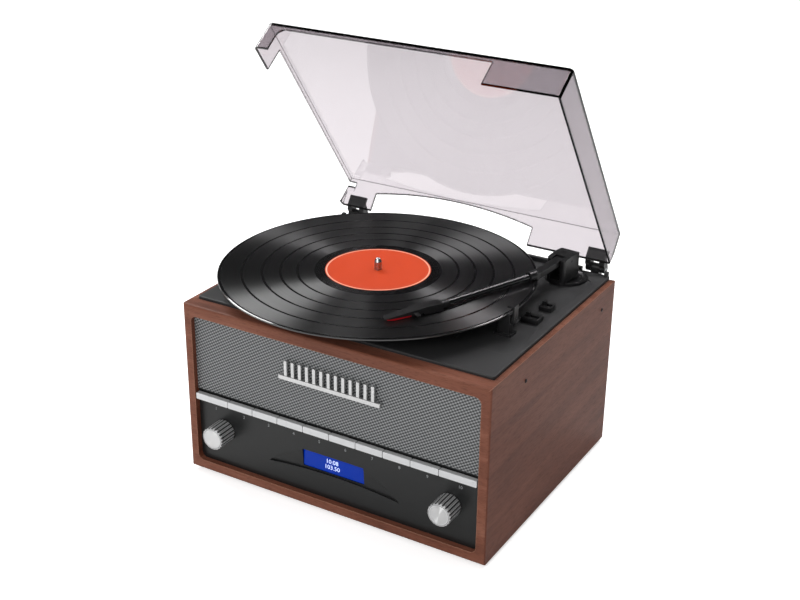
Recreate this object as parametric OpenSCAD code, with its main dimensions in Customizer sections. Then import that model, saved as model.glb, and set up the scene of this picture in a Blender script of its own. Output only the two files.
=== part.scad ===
// Stereo music centre: a record player and radio in a wooden cabinet, with a smoked lid
// Origin: middle of the footprint, on the surface that the feet stand on. +Z up, front towards -Y

/* [Cabinet] */
// Width of the wooden cabinet
cab_w = 322; // [300:1:360]
// Depth of the wooden cabinet, front to back
cab_d = 264; // [255:1:300]
// Height of the wooden cabinet, without its feet
cab_h = 174.4; // [165:0.1:200]
// Height of the rubber feet
foot_h = 4; // [3:0.5:10]
// Thickness of the side boards
side_wall = 9; // [7:0.5:11]
// Thickness of the front frame
front_wall = 9; // [8:0.5:12]
// Thickness of the bottom board
bottom_wall = 8; // [6:0.5:10]
// Height of the frame below the front opening
frame_bottom = 10; // [9:0.5:14]
// Height of the frame above the front opening
frame_top = 11; // [9:0.5:14]
// Depth of the wooden strip on top, in front of the deck plate
top_strip = 15.7; // [12:0.1:20]
// Width of the wooden strips on top, beside the deck plate
side_strip = 5.6; // [4:0.1:7]
// Radius of the corners of the front opening
opening_r = 6; // [3:0.5:10]
// Rounding of the outer edges of the wood
wood_r = 2.5; // [1:0.5:4]
// Diameter of the screw holes in the side boards
side_hole_d = 3; // [2:0.5:4]

/* [Deck plate] */
// Height of the deck plate above the wood
deck_rise = 2.9; // [1.5:0.1:5]
// Thickness of the deck plate
deck_t = 3; // [2:0.5:4]
// Depth of the rebate in the wood that the deck plate lies in
rebate_h = 3; // [2:0.5:5]
// Depth of the shallow pockets in the deck plate
pocket_t = 0.8; // [0.4:0.1:1.2]
// Height of the ridge along the back edge
ridge_h = 4.7; // [2:0.1:6]
// Thickness of that ridge
ridge_t = 3.8; // [2:0.1:5]

/* [Grille and control panel] */
// Depth of the grille behind the front of the wood
grille_set = 5; // [3:0.5:6]
// Thickness of the grille
grille_t = 1.5; // [1:0.1:2]
// Height of the control panel
panel_h = 76; // [70:1:85]
// Depth of the control panel behind the front of the wood
panel_set = 6; // [4:0.5:7]
// Thickness of the control panel
panel_t = 3; // [2:0.5:4]
// Length of the badge bar
badge_w = 107.5; // [80:0.5:140]
// Height of the badge bar
badge_bar_h = 4; // [3:0.5:6]
// Height of the uprights on the badge bar
badge_fin_h = 15; // [8:0.5:20]
// Number of uprights on the badge bar
badge_fins = 13; // [7:1:17]
// Height of the badge bar above the control panel
badge_rise = 41.5; // [30:0.5:50]

/* [Buttons] */
// Number of bar buttons
button_n = 10; // [10:1:10]
// From the cabinet's side to the row of buttons
row_margin = 10; // [9.8:0.1:14]
// Width of an end button over that of a middle one
button_end_ratio = 1.317; // [1:0.001:1.4]
// Height of a button
button_h = 6.5; // [5:0.5:8]
// Gap between two buttons
button_gap = 0.6; // [0.5:0.1:1]
// Travel of a button
button_travel = 1; // [0.5:0.1:1]
// Depth of a button's bar
button_t = 4.5; // [3:0.1:4.5]
// Height of the dark line between the buttons and the grille
button_line = 2.75; // [1.5:0.05:5]

/* [Display] */
// Width of the display window
window_w = 66.5; // [50:0.5:80]
// Height of the display window
window_h = 18; // [14:0.5:20]
// Height of the window's middle above the foot of the control panel
window_rise = 36; // [30:0.5:40]

/* [Knobs] */
// Diameter of a knob
knob_d = 22.6; // [16:0.1:26]
// Length of a knob
knob_len = 20; // [14:0.5:24]
// Distance of each knob from the middle
knob_x = 122.5; // [110:1:130]
// Height of the knobs above the foot of the control panel
knob_rise = 37.6; // [30:0.5:45]
// Number of ribs round a knob
knob_ribs = 40; // [24:2:48]
// Diameter of the control shafts
shaft_d = 6; // [5:0.5:7]

/* [Record player] */
// Place of the spindle, left of the middle
spindle_x = -22.3; // [-26:0.1:-18]
// Place of the spindle, in front of the cabinet's middle
spindle_y = -11.1; // [-14:0.1:-8]
// Diameter of the record
record_d = 301.5; // [300:0.1:302]
// Thickness of the record
record_t = 2; // [1.6:0.1:2.4]
// Diameter of the record's label
label_d = 100; // [95:1:102]
// Height of the record's top above the deck plate
record_rise = 19; // [18:0.1:22]
// Diameter of the platter
platter_d = 200; // [190:1:215]
// Thickness of the rubber mat
mat_t = 1.5; // [1:0.1:3]
// Diameter of the spindle where the record sits
spindle_d = 7.2; // [7:0.05:7.25]
// Height of the spindle above the record
spindle_rise = 12; // [8:0.5:12]
// Diameter of the drive ring over that of the platter
drive_ring_ratio = 0.74; // [0.7:0.01:0.78]
// Diameter of the motor pulley
pulley_d = 10; // [8:0.5:12]
// Thickness of the drive belt
belt_t = 0.8; // [0.5:0.1:1]
// Width of the drive belt
belt_w = 4; // [3:0.5:5]

/* [Tonearm] */
// Place of the arm's pivot, right of the middle
arm_x = 119.3; // [118:0.1:121]
// Place of the arm's pivot, behind the cabinet's middle
arm_y = 106.5; // [104:0.1:107]
// Diameter of the round base
arm_base_d = 41.4; // [38:0.1:41.6]
// Length of the carrier, pivot to bend
carrier_len = 59.3; // [56:0.1:62]
// Length of the arm tube, bend to headshell
tube_len = 115.2; // [110:0.1:118]
// Length of the headshell
shell_len = 55; // [50:0.5:57]
// Diameter of the arm tube
tube_d = 6; // [5:0.1:7]
// Height of the tube's axis above the record
tube_rise = 4; // [3.8:0.1:6]
// Yaw of the carrier from straight ahead, with the stylus on the record
carrier_yaw = 5.4; // [5:0.1:6]
// Yaw of the tube from straight ahead
tube_yaw = 21.7; // [20:0.1:23]
// Yaw of the headshell from straight ahead
shell_yaw = 30.7; // [29:0.1:32]
// Diameter of the post that the arm turns on
arm_post_d = 8; // [6:0.5:9]
// Diameter of the pin that the arm is lifted on
lift_pin_d = 2.5; // [2:0.1:3]

/* [Lid] */
// Width of the lid
lid_w = 310; // [306:1:310]
// Thickness of the lid
lid_wall = 2; // [1.5:0.1:2.5]
// Gap between the deck plate and the closed lid
lid_gap = 3.6; // [2.5:0.1:5]
// Depth of the lid, rim to top
lid_h = 30.5; // [30:0.1:36]
// Distance of the lid's front from the front of the wood, when closed
lid_front_set = 8; // [6:0.5:8]
// Slope of the lid's back wall, rim to fold
lid_back_slope = 10; // [8:0.5:11]
// Angle that the lid opens to
lid_open = 54; // [40:1:60]
// Depth of the narrow rim left over the front cut-out
lid_rim = 5.5; // [4:0.5:7]
// Width of a hinge
hinge_w = 20; // [16:1:22]
// Distance of each hinge from the middle
hinge_x = 138; // [134:1:138]
// Diameter of the hinge pins
hinge_pin_d = 3; // [2.5:0.1:4]

/* [Fits] */
// Radial clearance of a shaft or pin in the hole that it turns in
run_fit = 0.05; // [0.02:0.01:0.1]
// Radial clearance of a shaft or pin in the hole that holds it
tight_fit = 0.02; // [0.01:0.01:0.05]
// Gap between pieces that pass each other
pass_gap = 0.4; // [0.3:0.05:0.6]

/* [Hidden] */
$fn = 64;

// Colours, as the photograph shows them
wood_colour = [0.42, 0.25, 0.21];
black_colour = [0.14, 0.14, 0.15];
silver_colour = [0.74, 0.74, 0.75];
grille_colour = [0.52, 0.53, 0.54];
label_colour = [0.91, 0.31, 0.16];
smoke_colour = [0.55, 0.52, 0.56, 0.45];
board_colour = [0.16, 0.36, 0.24];

// Levels, from the ground up
base_z = foot_h;
wood_z = base_z + cab_h;
deck_z = wood_z + deck_rise;
deck_under_z = deck_z - deck_t;
rebate_z = wood_z - rebate_h;
pocket_z = deck_z - pocket_t;
record_z = deck_z + record_rise;
mat_z = record_z - record_t;
platter_z = mat_z - mat_t;
open_z0 = base_z + frame_bottom;
open_z1 = wood_z - frame_top;
panel_z1 = open_z0 + panel_h;

// Places, front to back
front_y = -cab_d / 2;
back_y = cab_d / 2;
inner_x = cab_w / 2 - side_wall;
inner_y = front_y + front_wall;
panel_y = front_y + panel_set;
panel_back_y = panel_y + panel_t;
grille_y = front_y + grille_set;
baffle_y = grille_y + grille_t;
deck_x = cab_w / 2 - side_strip;
deck_y0 = front_y + top_strip;
deck_y1 = back_y - 0.7;

// Joinery and boards
rebate_fit = 0.2;
baffle_t = 6;
back_t = 4;
back_panel_y = back_y - 2 - back_t;
board_t = 1.6;

// Points on the arm
function heading(yaw) = [-sin(yaw), -cos(yaw)];
arm_p = [arm_x, arm_y];
bend_p = arm_p + carrier_len * heading(carrier_yaw);
shell_p = bend_p + tube_len * heading(tube_yaw);
tube_z = record_z + tube_rise;

// Lid, as it lies when it is closed
lid_y0 = front_y + lid_front_set;
lid_y1 = back_y - 6;
lid_z0 = deck_z + lid_gap;
lid_z1 = lid_z0 + lid_h;
lid_fold_y = lid_y1 - lid_back_slope;
hinge_y = back_y + 5;
hinge_z = lid_z0;
hinge_r = 4.5;

// A rectangle with round corners, middle at the origin
module round_rect(w, h, r) {
    square([w - 2 * r, h], center = true);
    square([w, h - 2 * r], center = true);
    for (sx = [-1, 1], sy = [-1, 1])
        translate([sx * (w / 2 - r), sy * (h / 2 - r)]) circle(r);
}

// A plate facing the front: the 2D shape's Y becomes height, its front face lies at y
module facing(y, t) {
    translate([0, y + t, 0]) rotate([90, 0, 0]) linear_extrude(t) children();
}

// A shape drawn as a side view (y, z), extruded over w to both sides of x
module side_view(x, w) {
    translate([x - w / 2, 0, 0]) rotate([90, 0, 90]) linear_extrude(w) children();
}

// A cylinder that runs front to back, from y for a length
module rod_y(x, y, z, d, len) {
    translate([x, y + len, z]) rotate([90, 0, 0]) cylinder(d = d, h = len);
}

// A block with round upright corners and rounded top edges
module soft_block(w, d, h, r_side, r_top) {
    intersection() {
        translate([0, 0, 0]) linear_extrude(h) round_rect(w, d, r_side);
        rotate([90, 0, 0]) translate([0, (h - r_top) / 2, -d / 2 - 1])
            linear_extrude(d + 2) union() {
                translate([0, r_top / 2]) round_rect(w, h, r_top);
                translate([0, -r_top / 2 - 1]) square([w, h - r_top + 1], center = true);
            }
        rotate([90, 0, 90]) translate([0, (h - r_top) / 2, -w / 2 - 1])
            linear_extrude(w + 2) union() {
                translate([0, r_top / 2]) round_rect(d, h, r_top);
                translate([0, -r_top / 2 - 1]) square([d, h - r_top + 1], center = true);
            }
    }
}

// Frame of a piece on the arm: +X runs along the heading, the origin lies on the tube's axis
module along(p, yaw) {
    translate([p[0], p[1], tube_z]) rotate([0, 0, -90 - yaw]) children();
}

// Turns what is drawn closed into the lid's open place
module opened() {
    translate([0, hinge_y, hinge_z]) rotate([-lid_open, 0, 0])
        translate([0, -hinge_y, -hinge_z]) children();
}

// Outline of the front opening between two heights, with the wood's corners where it meets them
module opening_part(z0, z1, gap) {
    intersection() {
        translate([0, (open_z0 + open_z1) / 2])
            round_rect(2 * inner_x - 2 * gap, open_z1 - open_z0 - 2 * gap, opening_r);
        translate([-inner_x, z0]) square([2 * inner_x, z1 - z0]);
    }
}

side_holes = [[-66, wood_z - 21.4], [100, wood_z - 19.4]];

module cabinet() {
    color(wood_colour) difference() {
        translate([0, 0, base_z]) intersection() {
            linear_extrude(cab_h) round_rect(cab_w, cab_d, wood_r);
            side_view(0, cab_w) translate([0, cab_h / 2]) round_rect(cab_d, cab_h, wood_r);
        }
        // Room inside, open at the back and the bottom
        translate([-inner_x, inner_y, base_z - 1]) cube([2 * inner_x, cab_d, open_z1 - base_z + 1]);
        translate([-inner_x, deck_y0, base_z]) cube([2 * inner_x, cab_d, cab_h + 1]);
        // Rebate for the deck plate
        translate([-deck_x, deck_y0, rebate_z]) cube([2 * deck_x, cab_d, rebate_h + 1]);
        // Front opening
        facing(front_y - 1, front_wall + 2) opening_part(open_z0, open_z1, 0);
        for (hole = side_holes)
            translate([-cab_w, hole[0], hole[1]]) rotate([0, 90, 0]) cylinder(d = side_hole_d, h = 2 * cab_w);
    }
}

module bottom_board() {
    color("tan") translate([-inner_x, inner_y, base_z])
        cube([2 * inner_x, back_y - inner_y, bottom_wall]);
}

vent_n = 14;
vent_pitch = 9;
vent_h = 40;
vent_w = 3.5;
socket_z = base_z + bottom_wall + 26;
socket_x = [-70, -54, -32];
socket_d = 9;
inlet_x = 92;
inlet_d = 12;

module back_panel() {
    color(black_colour) difference() {
        translate([-inner_x, back_panel_y, base_z + bottom_wall])
            cube([2 * inner_x, back_t, rebate_z - base_z - bottom_wall]);
        for (i = [0:vent_n - 1])
            translate([(i - (vent_n - 1) / 2) * vent_pitch, 0, base_z + cab_h * 0.6])
                facing(back_panel_y - 1, back_t + 2) round_rect(vent_w, vent_h, vent_w / 2 - 0.01);
        for (x = socket_x) rod_y(x, back_panel_y - 1, socket_z, socket_d, back_t + 2);
        rod_y(inlet_x, back_panel_y - 1, socket_z, inlet_d, back_t + 2);
    }
}

foot_d = 22;
foot_x = cab_w / 2 - 26;
foot_y = cab_d / 2 - 26;

module feet() {
    color(black_colour) for (sx = [-1, 1], sy = [-1, 1])
        translate([sx * foot_x, sy * foot_y, 0]) rotate_extrude()
            polygon([[0, 0], [foot_d / 2 - 1.5, 0], [foot_d / 2, 1.5], [foot_d / 2, foot_h], [0, foot_h]]);
}

// Deck plate
drive_ring_d = drive_ring_ratio * platter_d;
bush_d = 14;
bush_flange_d = 22;
motor_gap = 6;
motor_dir = 225;
motor_p = [spindle_x, spindle_y]
    + (drive_ring_d / 2 + pulley_d / 2 + motor_gap) * [cos(motor_dir), sin(motor_dir)];
pulley_hole_d = pulley_d + 6;
arm_pocket = [92, 147, -74, 112];
hinge_notch = hinge_w + 4;
rest_x = 124.2;
rest_y = -35;
park_x = 129;
switch_speed = [133.5, 1];
switch_stop = [134.5, 30.5];
speed_travel = 8;
stop_travel = 5;
lever_w = 3.2;
lever_len = 4;
lever_slot_w = lever_w + 2 * pass_gap;

module deck_plate() {
    color(black_colour) {
        difference() {
            translate([0, (deck_y0 + deck_y1) / 2, rebate_z])
                soft_block(2 * (deck_x - rebate_fit), deck_y1 - deck_y0, deck_z - rebate_z, 3, 1.2);
            // Hollow underside
            translate([-inner_x + 4, deck_y0 + 6, rebate_z - 1])
                cube([2 * inner_x - 8, deck_y1 - deck_y0 - 12, deck_under_z - rebate_z + 1]);
            // Shallow dish under the platter
            translate([spindle_x, spindle_y, pocket_z]) cylinder(d = platter_d + 8, h = 5, $fn = 128);
            translate([arm_x, arm_y, pocket_z]) cylinder(d = arm_base_d + 2 * run_fit, h = 5);
            // Pocket round the arm, its rest and the switches
            translate([(arm_pocket[0] + arm_pocket[1]) / 2, (arm_pocket[2] + arm_pocket[3]) / 2, pocket_z])
                linear_extrude(5) round_rect(arm_pocket[1] - arm_pocket[0], arm_pocket[3] - arm_pocket[2], 9);
            translate([spindle_x, spindle_y, rebate_z - 1]) cylinder(d = bush_d, h = 20);
            translate([motor_p[0], motor_p[1], rebate_z - 1]) cylinder(d = pulley_hole_d, h = 20);
            translate([switch_speed[0], switch_speed[1], deck_under_z - 1])
                linear_extrude(10) square([speed_travel + lever_len + 3, lever_slot_w + 3], center = true);
            translate([switch_stop[0], switch_stop[1], deck_under_z - 1])
                linear_extrude(10) square([stop_travel + lever_len + 3, lever_slot_w + 3], center = true);
        }
        // Ridge along the back, open at the hinges
        difference() {
            translate([0, deck_y1 - ridge_t / 2, deck_z - 1]) soft_block(2 * deck_x - 3, ridge_t, ridge_h + 1, 0.8, 1.2);
            for (s = [-1, 1])
                translate([s * hinge_x - hinge_notch / 2, deck_y1 - 10, deck_z])
                    cube([hinge_notch, 20, ridge_h + 2]);
        }
    }
}

// Front: grille, baffle and badge
speaker_x = 95;
speaker_z = (panel_z1 + open_z1) / 2;
speaker_d = 70;
cone_d = 58;
badge_z = panel_z1 + badge_rise;
badge_t = 3;

module grille() {
    color(grille_colour) facing(grille_y, grille_t) opening_part(panel_z1, open_z1, 0);
}

module baffle_board() {
    color("tan") facing(baffle_y, baffle_t) difference() {
        opening_part(panel_z1, open_z1, 0);
        for (s = [-1, 1]) translate([s * speaker_x, speaker_z]) circle(d = cone_d + 2);
    }
}

module badge() {
    fin_w = 3;
    fin_pitch = (badge_w - 15) / (badge_fins - 1);
    color(silver_colour) {
        translate([0, 0, badge_z]) facing(front_y, badge_t) round_rect(badge_w, badge_bar_h, 1);
        for (i = [0:badge_fins - 1])
            translate([(i - (badge_fins - 1) / 2) * fin_pitch, 0, badge_z + badge_bar_h / 2 + badge_fin_h / 2 - 0.5])
                facing(front_y + 0.5, badge_t - 0.5) round_rect(fin_w, badge_fin_h + 1, 0.8);
        for (s = [-1, 1])
            rod_y(s * badge_w * 0.4, front_y + badge_t - 0.5, badge_z, 3, grille_set - badge_t + 0.5);
    }
}

// Control panel and what it carries
button_z = panel_z1 - button_line - button_h / 2;
button_back_y = front_y + button_t;
stem_w = 6;
stem_h = 4;
stem_gap = 0.5;
board_y = panel_back_y + 5;
key_y = board_y - 2.2;
stem_end_y = key_y - button_travel - 0.3;
window_z = open_z0 + window_rise;
window_t = 1.5;
knob_z = open_z0 + knob_rise;
encoder_w = 12;
bushing_d = 9;
scoop_w = 142;
scoop_tip = window_z - 15;
scoop_low = window_z - 10.5;
scoop_top = window_z + 11.5;
scoop_depth = 1.9;

row_w = cab_w - 2 * row_margin;
button_pitch = row_w / (2 * button_end_ratio + button_n - 2);
button_end_w = button_end_ratio * button_pitch;

function button_w(i) = i == 0 || i == button_n - 1 ? button_end_w : button_pitch;
function button_x(i) = i == 0 ? -row_w / 2 + button_end_w / 2
    : i == button_n - 1 ? row_w / 2 - button_end_w / 2
    : -row_w / 2 + button_end_w + (i - 0.5) * button_pitch;

// Eye-shaped scoop round the window: a crisp step along its lower arc, fading out at its upper one
module scoop() {
    half = scoop_w / 2;
    top_r = (half * half + pow(scoop_top - scoop_tip, 2)) / (2 * (scoop_top - scoop_tip));
    low_r = (half * half + pow(scoop_low - scoop_tip, 2)) / (2 * (scoop_low - scoop_tip));
    intersection() {
        facing(panel_y - 1, scoop_depth + 2) difference() {
            translate([0, scoop_top - top_r]) circle(top_r, $fn = 256);
            translate([0, scoop_low - low_r]) circle(low_r, $fn = 720);
            translate([-top_r, scoop_tip - 2 * top_r]) square([2 * top_r, 2 * top_r]);
        }
        side_view(0, scoop_w + 2) polygon([
            [panel_y - 2, scoop_tip], [panel_y + scoop_depth, scoop_tip], [panel_y, scoop_top], [panel_y - 2, scoop_top]
        ]);
    }
}

module control_panel() {
    color(black_colour) difference() {
        union() {
            facing(panel_y, panel_t) opening_part(open_z0, panel_z1, 0);
            // Posts that hold the circuit board
            for (x = [-138, -60, 60, 138])
                rod_y(x, panel_back_y - 0.5, window_z - 20, 7, board_y - panel_back_y + 0.5);
        }
        scoop();
        translate([0, 0, window_z]) facing(panel_y - 2, panel_t + 4) round_rect(window_w, window_h, 0.8);
        for (i = [0:button_n - 1])
            translate([button_x(i), 0, button_z]) facing(panel_y - 1, panel_t + 2)
                square([stem_w + 2 * stem_gap, stem_h + 2 * stem_gap], center = true);
        for (s = [-1, 1]) rod_y(s * knob_x, panel_y - 1, knob_z, bushing_d + 2 * tight_fit, panel_t + 2);
    }
}

module control_board() {
    board_z0 = window_z - 24;
    color(board_colour) translate([-inner_x + 8, board_y, board_z0])
        cube([2 * inner_x - 16, board_t, panel_z1 - 2 - board_z0]);
    // Key switches
    color(black_colour) for (i = [0:button_n - 1])
        translate([button_x(i), 0, button_z]) facing(key_y, board_y - key_y) round_rect(6, 6, 0.5);
}

module display_window() {
    color([0.1, 0.21, 0.78]) translate([0, 0, window_z])
        facing(panel_back_y - 0.5, window_t) round_rect(window_w, window_h, 0.8);
}

module display_module() {
    color(silver_colour) translate([0, 0, window_z])
        facing(panel_back_y - 0.5 + window_t, board_y - panel_back_y + 0.5 - window_t)
            round_rect(window_w + 8, window_h + 8, 1);
}

module button(i) {
    color(silver_colour) {
        translate([button_x(i), 0, button_z]) facing(front_y, button_t) round_rect(button_w(i) - button_gap, button_h, 0.8);
        translate([button_x(i), 0, button_z]) facing(button_back_y - 0.5, stem_end_y - button_back_y + 0.5)
            square([stem_w, stem_h], center = true);
    }
}

// Knobs
knob_base_y = panel_y - 0.5;
knob_face_y = knob_base_y - knob_len;
cap_d = knob_d - 5;
cap_t = 1.2;

// A shape whose Z runs from the knob's face towards the panel
module at_knob(x) {
    translate([x, knob_face_y, knob_z]) rotate([-90, 0, 0]) children();
}

module knob(x) {
    rim_len = 2.6;
    color(silver_colour) at_knob(x) difference() {
        union() {
            rotate_extrude($fn = 96) polygon([
                [0, 0], [knob_d / 2 - 0.8, 0], [knob_d / 2, 0.8],
                [knob_d / 2, rim_len], [knob_d / 2 - 0.9, rim_len + 0.6], [knob_d / 2 - 0.9, knob_len],
                [0, knob_len]
            ]);
            translate([0, 0, rim_len + 0.6]) linear_extrude(knob_len - rim_len - 0.6) difference() {
                circle(d = knob_d, $fn = 96);
                for (i = [0:knob_ribs - 1])
                    rotate(i * 360 / knob_ribs) translate([knob_d / 2 + 0.15, 0]) circle(0.62, $fn = 16);
            }
        }
        translate([0, 0, -1]) cylinder(d = cap_d, h = cap_t + 1 + 0.01);
        // Ring groove round the cap
        translate([0, 0, -1]) rotate_extrude() translate([cap_d / 2 + 0.8, 0]) square([0.5, 1.6]);
        translate([0, 0, 3]) cylinder(d = shaft_d + 2 * tight_fit, h = knob_len);
    }
}

module knob_cap(x) {
    color("gainsboro") at_knob(x) rotate_extrude() polygon([
        [0, 0.1], [cap_d / 2 - 0.4, 0.1], [cap_d / 2 - tight_fit, 0.5], [cap_d / 2 - tight_fit, cap_t], [0, cap_t]
    ]);
}

module knob_shaft(x) {
    shaft_y0 = knob_face_y + 3.2;
    color("silver") rod_y(x, shaft_y0, knob_z, shaft_d, board_y - 1 - shaft_y0);
}

module encoders() {
    color("silver") for (s = [-1, 1]) difference() {
        union() {
            rod_y(s * knob_x, panel_y, knob_z, bushing_d, panel_t + 0.5);
            translate([s * knob_x, 0, knob_z]) facing(panel_back_y, board_y - panel_back_y)
                round_rect(encoder_w, encoder_w, 0.5);
        }
        rod_y(s * knob_x, panel_y - 1, knob_z, shaft_d + 2 * run_fit, board_y - 0.5 - panel_y + 1);
    }
}

// Loudspeakers behind the baffle board
magnet_d = 34;
basket_t = 22;

module at_speaker(s) {
    translate([s * speaker_x, baffle_y + baffle_t, speaker_z]) rotate([-90, 0, 0]) children();
}

module speaker_frames() {
    color([0.3, 0.3, 0.32]) for (s = [-1, 1]) at_speaker(s) rotate_extrude() polygon([
        [cone_d / 2, 0], [speaker_d / 2, 0], [speaker_d / 2, 2], [cone_d / 2 + 2, 2],
        [magnet_d / 2, basket_t - 8], [magnet_d / 2, basket_t + 8], [0, basket_t + 8],
        [0, basket_t - 4], [magnet_d / 2 - 3, basket_t - 9], [cone_d / 2, 1]
    ]);
}

module speaker_cones() {
    color([0.1, 0.1, 0.1]) for (s = [-1, 1]) at_speaker(s) rotate_extrude() polygon([
        [cone_d / 2 - 0.5, 0], [cone_d / 2 - 0.5, 1], [magnet_d / 2 - 4, basket_t - 10], [0, basket_t - 6],
        [0, basket_t - 8], [magnet_d / 2 - 5, basket_t - 12], [cone_d / 2 - 3, -1]
    ]);
}

module main_board() {
    post_h = 4;
    board_z = base_z + bottom_wall + post_h;
    board_w = 130;
    board_d = 80;
    board_y0 = 20;
    color(board_colour) {
        translate([-board_w / 2, board_y0, board_z]) cube([board_w, board_d, board_t]);
        for (sx = [-1, 1], y = [8, board_d - 8])
            translate([sx * (board_w / 2 - 8), board_y0 + y, base_z + bottom_wall]) cylinder(d = 6, h = post_h + 0.5);
    }
    color(black_colour) for (i = [0:3])
        translate([-45 + i * 26, board_y0 + 24, board_z + board_t - 0.2]) cube([16, 16 + 4 * (i % 2), 3]);
}

module rear_sockets() {
    reach = 6;
    color("gold") for (x = socket_x) difference() {
        rod_y(x, back_panel_y - 8, socket_z, socket_d - 2 * tight_fit, back_t + 8 + reach);
        rod_y(x, back_panel_y + back_t, socket_z, 3.5, reach + 1);
    }
    color(black_colour) difference() {
        rod_y(inlet_x, back_panel_y - 8, socket_z, inlet_d - 2 * tight_fit, back_t + 8 + 1);
        rod_y(inlet_x, back_panel_y - 4, socket_z, 5.5, back_t + 8);
    }
}

// Platter, belt and motor
platter_rim_t = 3;
web_t = 2.2;
hub_d = 24;
rim_z = deck_z + 3.7;
ring_t = 3;
hub_z = deck_z + 7;
belt_z = deck_z + 8;

module platter() {
    color([0.2, 0.2, 0.21]) translate([spindle_x, spindle_y, 0]) rotate_extrude($fn = 128) polygon([
        [spindle_d / 2 + tight_fit, hub_z], [hub_d / 2, hub_z], [hub_d / 2, platter_z - web_t],
        [drive_ring_d / 2 - ring_t, platter_z - web_t], [drive_ring_d / 2 - ring_t, belt_z - 2],
        [drive_ring_d / 2, belt_z - 2], [drive_ring_d / 2, platter_z - web_t],
        [platter_d / 2 - platter_rim_t, platter_z - web_t], [platter_d / 2 - platter_rim_t, rim_z],
        [platter_d / 2 - 1, rim_z], [platter_d / 2, rim_z + 1],
        [platter_d / 2, platter_z - 1], [platter_d / 2 - 1, platter_z], [spindle_d / 2 + tight_fit, platter_z]
    ]);
}

module platter_mat() {
    color([0.08, 0.08, 0.08]) translate([spindle_x, spindle_y, platter_z]) difference() {
        cylinder(d = platter_d - 3, h = mat_t, $fn = 128);
        translate([0, 0, -1]) cylinder(d = spindle_d + 2 * tight_fit, h = mat_t + 2);
    }
}

spindle_low_d = 6;
bush_z0 = deck_under_z - 18;

module spindle() {
    tip_r = 1.6;
    color("silver") translate([spindle_x, spindle_y, 0]) rotate_extrude() union() {
        polygon([
            [0, bush_z0 + 3], [spindle_low_d / 2, bush_z0 + 3], [spindle_low_d / 2, hub_z],
            [spindle_d / 2, hub_z], [spindle_d / 2, record_z + spindle_rise - 4],
            [spindle_d / 2 - tip_r, record_z + spindle_rise - 1], [0, record_z + spindle_rise]
        ]);
    }
}

module bearing_bush() {
    color("goldenrod") translate([spindle_x, spindle_y, 0]) rotate_extrude() polygon([
        [0, bush_z0], [bush_d / 2 - tight_fit, bush_z0], [bush_d / 2 - tight_fit, pocket_z],
        [bush_flange_d / 2, pocket_z], [bush_flange_d / 2, pocket_z + 2], [bush_d / 2 - 1, pocket_z + 2],
        [bush_d / 2 - 1, hub_z - pass_gap], [spindle_low_d / 2 + run_fit, hub_z - pass_gap],
        [spindle_low_d / 2 + run_fit, bush_z0 + 2.6], [0, bush_z0 + 2.6]
    ]);
}

label_t = 0.25;
groove_t = 0.25;

module record() {
    r0 = spindle_d / 2 + tight_fit;
    color([0.05, 0.05, 0.05]) translate([spindle_x, spindle_y, mat_z]) rotate_extrude($fn = 180) polygon([
        [r0, 0], [record_d / 2 - 1, 0], [record_d / 2, 0.5], [record_d / 2, record_t - 0.5],
        [record_d / 2 - 1, record_t], [record_d / 2 - 3, record_t - 0.1], [record_d / 2 - 4.5, record_t - groove_t],
        [label_d / 2 + 5, record_t - groove_t], [label_d / 2 + 2.5, record_t], [label_d / 2, record_t],
        [label_d / 2, record_t - label_t], [r0, record_t - label_t]
    ]);
}

module record_label() {
    color(label_colour) translate([spindle_x, spindle_y, record_z - label_t]) difference() {
        cylinder(d = label_d - 2 * tight_fit, h = label_t, $fn = 128);
        translate([0, 0, -1]) cylinder(d = spindle_d + 2 * tight_fit, h = 2);
    }
}

motor_shaft_d = 2;
motor_d = 28;
motor_len = 24;
plate_t = 1.5;

module motor() {
    color("silver") translate([motor_p[0], motor_p[1], 0]) difference() {
        union() {
            translate([0, 0, deck_under_z - plate_t - motor_len]) cylinder(d = motor_d, h = motor_len + 0.5);
            translate([0, 0, deck_under_z - plate_t]) linear_extrude(plate_t) round_rect(40, 24, 3);
        }
        translate([0, 0, deck_under_z - plate_t - 12]) cylinder(d = motor_shaft_d + 2 * run_fit, h = 20);
    }
}

module motor_pulley() {
    lip = 0.7;
    r = pulley_d / 2;
    z0 = belt_z - 2.5;
    z1 = belt_z + belt_w + 1;
    color("goldenrod") translate([motor_p[0], motor_p[1], 0]) rotate_extrude() polygon([
        [0, deck_under_z - plate_t - 11], [motor_shaft_d / 2, deck_under_z - plate_t - 11],
        [motor_shaft_d / 2, z0], [r + lip, z0], [r + lip, z0 + 1], [r, belt_z - 0.6],
        [r, belt_z + belt_w + 0.6 - 0.2], [r - 1, z1], [0, z1]
    ]);
}

module belt_line(grow) {
    hull() {
        translate([spindle_x, spindle_y]) circle(d = drive_ring_d + 2 * grow, $fn = 96);
        translate(motor_p) circle(d = pulley_d + 2 * grow, $fn = 32);
    }
}

module drive_belt() {
    color([0.1, 0.1, 0.1]) translate([0, 0, belt_z]) linear_extrude(belt_w) difference() {
        belt_line(pass_gap + belt_t);
        belt_line(pass_gap);
    }
}

// Tonearm
base_top_z = pocket_z + 3;
housing_w = 20;
housing_front = 22.5;
housing_rear = 7.5;
housing_r = 3;
housing_z0 = base_top_z + 0.5;
housing_z1 = record_z + 8.3;
housing_arch_r = 80;
housing_peak = 6;
housing_slot_w = 10;
post_top_z = tube_z - 9.5;
pin_u = 9;
pin_z = tube_z - 0.4;
carrier_w = 8.6;
carrier_h = 5.6;

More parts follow.
